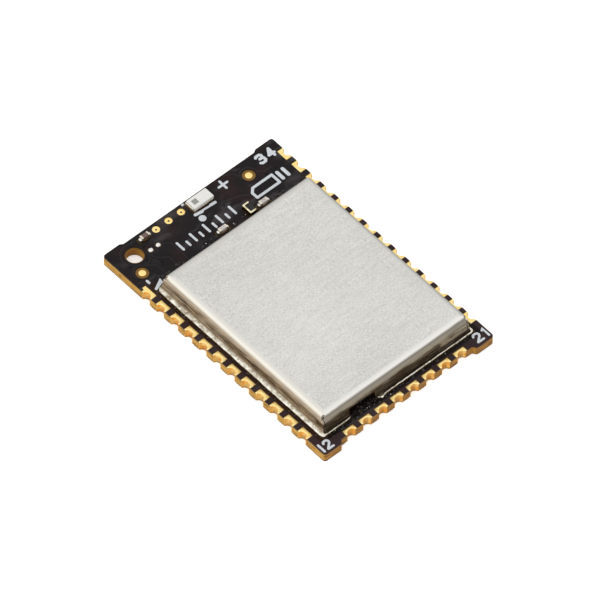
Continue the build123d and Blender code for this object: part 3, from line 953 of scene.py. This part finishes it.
traceSettings = {
    "rise": 0.012,
    "sunk": 0.010,
    "rim": 0.011,
    "paths": (
        {"wide": 0.13, "points": ((1.02, 7.90), (1.30, 7.86), (2.40, 7.50), (2.72, 7.24))},
        {"wide": 0.10, "points": ((-5.00, 7.25), (-4.62, 6.92), (-4.60, 6.30))},
        {"wide": 0.10, "points": ((-4.42, 7.70), (-4.18, 7.30), (-3.70, 6.90), (-3.70, 6.12))},
        {"wide": 0.09, "points": ((-3.35, 7.96), (-2.95, 7.60), (-2.95, 6.10))},
        {"wide": 0.10, "points": ((1.62, 6.62), (1.30, 6.98), (1.30, 7.50))},
        {"wide": 0.12, "points": ((2.50, 9.28), (3.10, 8.95), (3.22, 8.60))},
        {"wide": 0.12, "points": ((4.20, 8.22), (4.55, 7.95), (5.05, 7.95))},
    ),
    "arcs": (
        {"place": holeAt, "radius": 0.84, "wide": 0.11, "from": 60, "to": 205},
        {"place": sightingAt[0], "radius": 0.52, "wide": 0.09, "from": 20, "to": 200},
        {"place": sightingAt[1], "radius": 0.53, "wide": 0.10, "from": 10, "to": 175},
        {"place": (8.52, 3.09), "radius": 0.62, "wide": 0.09, "from": 35, "to": 150},
    ),
    "nearPads": {"from": 13, "to": 20, "away": 0.10, "down": 0.16, "wide": 0.075, "corner": 0.08},
}


def arcPoints(centre, radius, first, last, step=9):
    count = max(int(abs(last - first) / step), 3)
    angles = [math.radians(first + (last - first) * i / count) for i in range(count + 1)]
    return [(centre[0] + radius * math.cos(a), centre[1] + radius * math.sin(a)) for a in angles]


def ribbonMesh(path, width, low, high):  # a flat stroke with round ends
    points = [Vector(p) for p in path]
    half = width / 2
    ways = [(b - a).normalized() for a, b in zip(points, points[1:])]
    left, right = [], []
    for index, point in enumerate(points):
        before = ways[max(index - 1, 0)]
        after = ways[min(index, len(ways) - 1)]
        way = (before + after).normalized()
        reach = half / max(way.dot(after), meshSettings["mitre"])
        side = Vector((-way.y, way.x)) * reach
        left.append(point + side)
        right.append(point - side)

    steps = meshSettings["capSteps"]

    def cap(centre, way, sign):
        start = math.atan2(way.y, way.x) + (-math.pi / 2 if sign > 0 else math.pi / 2)
        turns = [start + i * math.pi / steps for i in range(1, steps)]
        return [centre + Vector((math.cos(a), math.sin(a))) * half for a in turns]

    outline = right + cap(points[-1], ways[-1], 1) + left[::-1] + cap(points[0], ways[0], -1)
    return slabMesh(outline, low, high)


def slabMesh(outline, low, high):
    bm = bmesh.new()
    face = bm.faces.new([bm.verts.new((p[0], p[1], low)) for p in outline])
    face.normal_update()
    if face.normal.z > 0:
        face.normal_flip()
    lifted = bmesh.ops.extrude_face_region(bm, geom=[face])
    for item in lifted["geom"]:
        if isinstance(item, bmesh.types.BMVert):
            item.co.z = high
    return meshFrom(bm, "slab")


def softUnion(shapes, rim, steps=2):  # shapes made one, with their upper rims rounded
    bm = simplified(editable(joinedMesh(shapes[0], shapes[1:], "UNION")))
    bm.normal_update()
    roundEdges(bm, upperRims(bm), rim, steps)
    return meshFrom(bm, "softUnion")


def makeTraces(s):
    low, high = maskTop - s["sunk"], maskTop + s["rise"]
    shapes = [ribbonMesh(path["points"], path["wide"], low, high) for path in s["paths"]]
    for arc in s["arcs"]:
        points = arcPoints(place(*arc["place"]), arc["radius"], arc["from"], arc["to"])
        shapes.append(ribbonMesh(points, arc["wide"], low, high))
    near = s["nearPads"]
    for number in range(near["from"], near["to"] + 1):
        first, last = boxOf(f"pad_{number:02d}")
        left, right, far = first.x - near["away"], last.x + near["away"], last.y + near["away"]
        foot, cut = last.y - near["down"], near["corner"]
        path = (
            (left, foot), (left, far - cut), (left + cut, far),
            (right - cut, far), (right, far - cut), (right, foot),
        )
        shapes.append(ribbonMesh(path, near["wide"], low, high))
    addPiece("maskTraces", softUnion(shapes, s["rim"]), "solder_mask", "solder_mask", sharp=60)


makeTraces(traceSettings)
print("stage: traces under the mask")


# Gold: edge pads with soft rims, sighting dots and test points

padSettings = {"rim": 0.03, "steps": 2}


def makePads(s):
    for row in frame["record"]["subparts"]:
        node = row["node"]
        if not node.startswith("pad_"):
            continue
        bm = weldedCopy(node)
        bm.normal_update()
        roundEdges(bm, upperRims(bm), s["rim"], s["steps"])
        addPiece("goldPad" + node[-2:], meshFrom(bm, "goldPad"), "gold_plate", "gold_plate", node)


makePads(padSettings)

dotSettings = {
    "dotRadius": 0.22,
    "crown": 0.012,
    "dotCrown": ((0, 1), (0.5, 0.8), (0.86, 0)),  # shares of the radius and of the crown
    "dotEdge": 0.016,
    "points": ((3.59, 0.57), (4.548, 0.57), (5.506, 0.57)),
    "pointRadius": 0.23,
    "pointFlat": 0.9,
    "pointEdge": 0.014,
    "dish": 1.5,  # the shallow dish round the bore, in radii of the bore
    "dishDeep": 0.002,
    "bore": 0.062,
    "boreShift": (-0.02, -0.03),
    "boreProud": 0.0015,
    "boreSunk": 0.01,
    "boreSides": 20,
}


def makeDots(s):
    bm = bmesh.new()
    wide = s["dotRadius"]
    crown = [(wide * out, landTop + s["crown"] * up) for out, up in s["dotCrown"]]
    for spot in sightingAt:
        foot = ((wide, landTop - s["dotEdge"]), (wide, laminateTop), (0, laminateTop))
        turned(bm, place(*spot), (*crown, *foot))
    addPiece("sightingDots", meshFrom(bm, "dots"), "gold_plate", "gold_plate", "fiducial_dots")
    bm, plugs = bmesh.new(), bmesh.new()
    wide, bore = s["pointRadius"], s["bore"]
    low, high = landTop - s["boreSunk"], landTop + s["boreProud"]
    for spot in s["points"]:
        centre = place(*spot)
        turned(bm, centre, (
            (0, laminateTop), (wide, laminateTop), (wide, landTop - s["pointEdge"]),
            (wide * s["pointFlat"], landTop), (bore * s["dish"], landTop), (0, landTop - s["dishDeep"]),
        ))
        # a black plug in each test point: painted shade of its pit
        plug = ((0, high), (bore, high), (bore, low), (0, low))
        turned(plugs, centre + Vector(s["boreShift"]), plug, s["boreSides"])
    addPiece("testPoints", meshFrom(bm, "points"), "gold_plate", "gold_plate", "test_pads")
    addPiece("testPointPitShade", meshFrom(plugs, "bores"), "chip_black", "chip_black")


makeDots(dotSettings)
print("stage: gold")


# Printed legend: pin numbers, an orientation mark and plain outlines

legendSettings = {
    "thick": 0.014,
    "rim": 0.006,
    "numbers": (
        {
            "text": "12", "low": (-6.42, -9.38), "high": (-5.60, -8.66),
            "stroke": 0.145, "gap": 0.14, "one": 0.145,
        },
        {
            "text": "21", "low": (5.42, -9.34), "high": (6.38, -8.62),
            "stroke": 0.14, "gap": 0.14, "one": 0.25,
        },
        {
            "text": "34", "low": (4.71, 8.38), "high": (6.02, 9.14),
            "stroke": 0.18, "gap": 0.15, "one": 0.2,
        },
    ),
    "strokes": (
        {"wide": 0.16, "points": ((-5.80, 6.29), (-5.80, 6.47))},
        {"wide": 0.21, "points": ((-0.53, 8.21), (-0.08, 8.15))},
        {"wide": 0.13, "points": ((0.00, 8.19), (0.50, 8.15))},
        {"wide": 0.19, "points": ((0.62, 8.17), (0.93, 8.15))},
    ),
    "wedge": ((-5.108, 6.151), (-5.148, 5.82), (-5.818, 5.604), (-5.875, 5.746)),
    "dot": {"at": (-0.387, 7.758), "radius": 0.235, "sides": 9},
    "blob": ((-0.69, 9.17), (-0.52, 9.16), (-0.50, 9.29), (-0.60, 9.33), (-0.70, 9.28)),
    "frame": {"low": (2.98, 6.80), "high": (4.70, 7.50), "cut": 0.26, "wide": 0.17},
    "bars": (
        {"wide": 0.22, "points": ((5.04, 6.88), (5.04, 7.42))},
        {"wide": 0.22, "points": ((5.46, 6.88), (5.46, 7.42))},
        {"wide": 0.15, "points": ((1.80, 8.80), (2.44, 8.80))},
        {"wide": 0.15, "points": ((2.12, 8.50), (2.12, 9.10))},
    ),
    "scale": {
        "from": -2.70, "spacing": 0.50, "count": 9,
        "foot": 6.78, "tall": 7.38, "short": 7.10, "wide": 0.15,
    },
}

# Strokes of the figures, in a box one wide and one high
figures = {
    "1": (((1.0, 0.0), (1.0, 1.0), (0.0, 0.86)),),
    "2": (
        ((0.02, 0.78), (0.18, 0.96), (0.50, 1.0), (0.84, 0.93), (0.95, 0.74), (0.84, 0.54), (0.0, 0.03)),
        ((0.0, 0.0), (1.0, 0.0)),
    ),
    "3": (
        ((0.0, 0.90), (0.16, 1.0), (0.74, 1.0), (0.94, 0.86), (0.92, 0.66), (0.72, 0.54), (0.36, 0.54)),
        ((0.72, 0.54), (0.98, 0.42), (1.0, 0.16), (0.78, 0.0), (0.20, 0.0), (0.0, 0.12)),
    ),
    "4": (
        ((0.72, 0.0), (0.72, 1.0)),
        ((0.72, 1.0), (0.06, 0.34)),
        ((0.0, 0.30), (1.0, 0.30)),
        ((0.60, 0.62), (0.40, 0.42)),
    ),
}


def figureStrokes(number, low, high):
    first, last = Vector(number["low"]), Vector(number["high"])
    half, gap = number["stroke"] / 2, number["gap"]
    ones = number["text"].count("1")
    wide = (last.x - first.x - gap - ones * number["one"]) / (len(number["text"]) - ones)
    tall = last.y - first.y - 2 * half
    left = first.x
    shapes = []
    for figure in number["text"]:
        span = number["one"] if figure == "1" else wide
        across = max(span - 2 * half, 0.0)
        for stroke in figures[figure]:
            path = [(left + half + u * across, first.y + half + v * tall) for u, v in stroke]
            if figure == "1" and span <= number["stroke"]:
                path = path[:2]
            shapes.append(ribbonMesh(path, number["stroke"], low, high))
        left += span + gap
    return shapes


def makeLegend(s):
    low, high = maskTop, maskTop + s["thick"]
    shapes = []
    for number in s["numbers"]:
        shapes += figureStrokes(number, low, high)
    for stroke in s["strokes"] + s["bars"]:
        shapes.append(ribbonMesh(stroke["points"], stroke["wide"], low, high))
    shapes.append(slabMesh(s["wedge"], low, high))
    shapes.append(slabMesh(s["blob"], low, high))
    dot = s["dot"]
    shapes.append(disc(dot["at"], low, high, dot["radius"], dot["radius"], dot["sides"]))
    frameLine = s["frame"]
    (x1, y1), (x2, y2), cut = frameLine["low"], frameLine["high"], frameLine["cut"]
    corners = ((x1, y1), (x2, y1), (x2, y2), (x1 + cut, y2), (x1, y2 - cut), (x1, y1))
    for a, b in zip(corners, corners[1:]):
        shapes.append(ribbonMesh((a, b), frameLine["wide"], low, high))
    scale = s["scale"]
    for index in range(scale["count"]):
        x = scale["from"] + index * scale["spacing"]
        reach = scale["short"] if index % 2 else scale["tall"]
        shapes.append(ribbonMesh(((x, scale["foot"]), (x, reach)), scale["wide"], low, high))
    addPiece("legendInk", softUnion(shapes, s["rim"]), "legend", "white_ceramic", sharp=60)


makeLegend(legendSettings)
print("stage: legend")


# Bead of solder round the can's foot, open at the window, and a low wire at the near side

beadSettings = {
    "window": (-2.52, 2.06),  # the gap at the can's window: its middle and its width
    "step": 0.045,
    "corner": 0.05,
    "tuck": 0.05,  # how far the bead reaches in behind the wall's lean
    "sides": {  # least and most reach of the foot, and height
        "near": {"foot": (0.145, 0.195), "height": (0.04, 0.085), "section": "wire"},
        "right": {"foot": (0.12, 0.20), "height": (0.06, 0.16), "section": "slope"},
        "far": {"foot": (0.06, 0.16), "height": (0.03, 0.12), "section": "slope"},
        "left": {"foot": (0.19, 0.26), "height": (0.08, 0.14), "section": "slope"},
    },
    "slope": ((1.0, 0.0), (0.86, 0.34), (0.66, 0.60), (0.42, 0.80), (0.18, 0.94), (0.0, 1.0)),
    "wire": ((1.0, 0.0), (0.96, 0.60), (0.80, 1.0), (0.56, 0.88), (0.34, 0.22), (0.0, 0.14)),
    "seed": 4,
    "rates": {"sway": 0.9, "small": 3.6, "tiny": 9.0},  # waves in each millimetre of its run
    "footShares": {"small": 0.35, "tiny": 0.2},
    "tallShare": 0.4,
    "hold": 0.55,  # how much of its last size it keeps at each station
    "sectionHold": 0.7,
    "cornerSteps": 8,
    "fade": {"least": 0.35, "steps": 5},  # towards its two ends
    "swell": {"by": 0.8, "at": 5, "wide": 4},  # a blob at the window's right end
}


def canRound(s):  # stations round the can's foot: place, outward way and the side's name
    x1, x2, y1, y2 = canLow.x, canHigh.x, canLow.y, canHigh.y
    radius = s["corner"]
    middle, wide = s["window"]
    runs = [
        ((middle + wide / 2, y1), (x2 - radius, y1), (0, -1), "near"),
        ((x2, y1 + radius), (x2, y2 - radius), (1, 0), "right"),
        ((x2 - radius, y2), (x1 + radius, y2), (0, 1), "far"),
        ((x1, y2 - radius), (x1, y1 + radius), (-1, 0), "left"),
        ((x1 + radius, y1), (middle - wide / 2, y1), (0, -1), "near"),
    ]
    stations = []
    for number, (a, b, way, name) in enumerate(runs):
        a, b, way = Vector(a), Vector(b), Vector(way)
        count = max(int((b - a).length / s["step"]), 2)
        stations += [(a.lerp(b, i / count), way, name) for i in range(count + 1)]
        if number < len(runs) - 1:
            centre = b - way * radius
            for i in range(1, s["cornerSteps"]):
                turn = Matrix.Rotation(math.radians(90 * i / s["cornerSteps"]), 2)
                stations.append((centre + turn @ (way * radius), turn @ way, name))
    return stations


def within(span, share):  # a value between the two of a span
    return span[0] + (span[1] - span[0]) * min(max(share, 0), 1)


def eased(last, wanted, hold):  # a value that follows another slowly
    return wanted if last is None else last * hold + wanted * (1 - hold)


def makeBead(s):
    bm = bmesh.new()
    rings = []
    stations = canRound(s)
    rates, seed, swellAt = s["rates"], s["seed"], s["swell"]
    run = 0.0
    foot = tall = None
    wire = 1.0
    for index, (spot, way, name) in enumerate(stations):
        run += (spot - stations[index - 1][0]).length if index else 0
        side = s["sides"][name]
        sway = noise.noise(Vector((run * rates["sway"], seed, 0))) * 0.5 + 0.5
        small = noise.noise(Vector((run * rates["small"], 0, seed)))
        tiny = noise.noise(Vector((run * rates["tiny"], seed, seed)))
        footShare = sway + s["footShares"]["small"] * small + s["footShares"]["tiny"] * tiny
        foot = eased(foot, within(side["foot"], footShare), s["hold"])
        tall = eased(tall, within(side["height"], sway - s["tallShare"] * small), s["hold"])
        wire = eased(wire, side["section"] == "wire", s["sectionHold"])
        ends = min(index, len(stations) - 1 - index)
        fade = min(1.0, s["fade"]["least"] + ends / s["fade"]["steps"])
        swell = 1 + swellAt["by"] * math.exp(-((index - swellAt["at"]) / swellAt["wide"]) ** 2)
        ring = []
        for (out, up), (out2, up2) in zip(s["slope"], s["wire"]):
            out, up = out + (out2 - out) * wire, up + (up2 - up) * wire
            at = spot + way * (out * foot * fade * swell - (1 - out) * s["tuck"] * up)
            ring.append(bm.verts.new((at.x, at.y, landTop + up * tall * fade * swell)))
        inner = spot - way * s["tuck"]
        ring.append(bm.verts.new((inner.x, inner.y, landTop)))
        rings.append(ring)
    count = len(rings[0])
    for a, b in zip(rings, rings[1:]):
        for i in range(count):
            j = (i + 1) % count
            bm.faces.new((a[i], b[i], b[j], a[j]))
    bm.faces.new(rings[0])
    bm.faces.new(list(reversed(rings[-1])))
    addPiece("solderBead", meshFrom(bm, "solderBead"), "solder", "solder", "shield_solder", sharp=60)


makeBead(beadSettings)
print("stage: solder bead")


# Lumps of burnt flux and a few solder specks beside the can

fluxSettings = {
    "seed": 7,
    "sides": (
        {"edge": canHigh.y, "way": 1, "count": 84, "away": (0.10, 0.78)},
        {"edge": canLow.y, "way": -1, "count": 26, "away": (0.22, 0.40)},
    ),
    "wide": (0.04, 0.12),
    "tall": (0.02, 0.085),
    "margin": 0.25,
    "speckEvery": 6,
    "speckWide": (0.02, 0.04),
    "facets": 14,
    "domeStep": 18,
}


def makeFlux(s):
    draw = Random(s["seed"])
    lumps, specks = bmesh.new(), bmesh.new()
    for side in s["sides"]:
        for index in range(side["count"]):
            along = draw.uniform(canLow.x + s["margin"], canHigh.x - s["margin"])
            centre = (along, side["edge"] + side["way"] * draw.uniform(*side["away"]))
            bright = index % s["speckEvery"] == 0
            wide = draw.uniform(*(s["speckWide"] if bright else s["wide"]))
            tall = maskTop - landTop + draw.uniform(*s["tall"])
            profile = dome(wide, landTop, tall, s["domeStep"])
            turned(specks if bright else lumps, centre, profile, s["facets"])
    addPiece("fluxLumps", meshFrom(lumps, "lumps"), "flux", "solder_mask", sharp=60)
    addPiece("solderSpecks", meshFrom(specks, "specks"), "joint", "solder", sharp=60)


makeFlux(fluxSettings)
print("stage: flux")


# Ceramic antenna: a rounded block, a bright end strip and a grey mark on top

antennaSettings = {
    "bevel": 0.05,
    "strip": 0.085,
    "gap": 0.015,
    "stripDrop": 0.035,
    "stripBevel": 0.03,
    "inset": 0.03,
    "far": {"gap": 0.012, "long": 0.03, "high": 0.16, "bevel": 0.012},  # the end away from the strip
    "mark": {"at": (-0.06, 8.78), "half": 0.175, "thick": 0.004},
}


def makeAntenna(s):
    low, high = boxOf("antenna_terminals")
    left, front, back = low.x + s["strip"], low.y + s["inset"], high.y - s["inset"]
    far = s["far"]
    bm = bmesh.new()
    top = (high.x - far["gap"], high.y, high.z - s["mark"]["thick"])
    block(bm, (left + s["gap"], low.y, low.z), top, s["bevel"], 4)
    addPiece("antennaBlock", meshFrom(bm, "antennaBlock"), "white_ceramic", "white_ceramic", "chip_antenna")
    bm = bmesh.new()
    block(bm, (low.x, front, low.z), (left, back, high.z - s["stripDrop"]), s["stripBevel"], 3)
    block(bm, (high.x - far["long"], front, low.z), (high.x, back, low.z + far["high"]), far["bevel"], 2)
    addPiece("antennaEnds", meshFrom(bm, "antennaEnds"), "cap_metal", "cap_metal", "antenna_terminals")
    (x, y), half = s["mark"]["at"], s["mark"]["half"]
    corners = ((x - half, y - half), (x + half, y - half), (x + half, y + half), (x - half, y + half))
    mark = slabMesh(corners, high.z - 2 * s["mark"]["thick"], high.z)
    addPiece("antennaMark", mark, "mark", "white_ceramic", sharp=60)


makeAntenna(antennaSettings)
print("stage: antenna")


# Small chips beside the can: rounded bodies, end caps and their solder

chipSettings = {
    "bodies": {
        "left_edge_capacitor": ("leftEdgeCapacitor", "grey_ceramic"),
        "right_edge_capacitor": ("rightEdgeCapacitor", "grey_ceramic"),
        "tuning_capacitor": ("tuningCapacitor", "brown_ceramic"),
    },
    "halfLong": 0.30,
    "bodyInset": 0.06,
    "bodyBevel": 0.045,
    "capBevel": 0.05,
    "capLong": 0.14,
    "capProud": 0.008,
    "solderLong": 0.12,
    "solderHigh": 0.17,
    "solderTuck": 0.05,
    "solderInset": 0.02,
    "solderSunk": 0.002,
    "solderBevel": 0.075,
    "dots": ((2.35, 1.505), (2.91, 1.505)),
    "dotRadius": 0.16,
    "dotHigh": 0.115,
    "dotStep": 15,
    "dotSides": 24,
}


def makeChips(s):
    caps, joints = bmesh.new(), bmesh.new()
    proud, inset = s["capProud"], s["solderInset"]
    foot, top = landTop - s["solderSunk"], landTop + s["solderHigh"]
    for node, (name, finish) in s["bodies"].items():
        low, high = boxOf(node)
        middle = (low + high) / 2
        left, right = middle.x - s["halfLong"], middle.x + s["halfLong"]
        bm = bmesh.new()
        ends = left + s["bodyInset"], right - s["bodyInset"]
        block(bm, (ends[0], low.y, low.z), (ends[1], high.y, high.z), s["bodyBevel"], 3)
        addPiece(name, meshFrom(bm, name), finish, finish, node)
        for x1, x2, out in ((left, left + s["capLong"], -1), (right - s["capLong"], right, 1)):
            lower, upper = (x1, low.y - proud, low.z - proud), (x2, high.y + proud, high.z + proud)
            block(caps, lower, upper, s["capBevel"], 4)
            end = x1 if out < 0 else x2
            first, last = sorted((end - out * s["solderTuck"], end + out * s["solderLong"]))
            block(joints, (first, low.y + inset, foot), (last, high.y - inset, top), s["solderBevel"], 4)
    addPiece("chipEndCaps", meshFrom(caps, "caps"), "cap_metal", "cap_metal", "chip_end_caps")
    for spot in s["dots"]:
        profile = dome(s["dotRadius"], landTop, s["dotHigh"], s["dotStep"])
        turned(joints, place(*spot), profile, s["dotSides"])
    addPiece("chipSolder", meshFrom(joints, "joints"), "joint", "solder", "chip_solder", sharp=60)


makeChips(chipSettings)


# Matching inductor: a black body in a metal bracket

inductorSettings = {"bevel": 0.04, "rim": 0.018}


def makeInductor(s):
    low, high = boxOf("matching_inductor")
    bm = bmesh.new()
    block(bm, low, high, s["bevel"], 3)
    addPiece("inductorBody", meshFrom(bm, "inductorBody"), "chip_black", "chip_black", "matching_inductor")
    bm = weldedCopy("inductor_bracket")
    bm.normal_update()
    roundEdges(bm, upperRims(bm), s["rim"], 2)
    addPiece("inductorBracket", meshFrom(bm, "bracket"), "bracket", "gold_plate", "inductor_bracket")


makeInductor(inductorSettings)
print("stage: small parts")
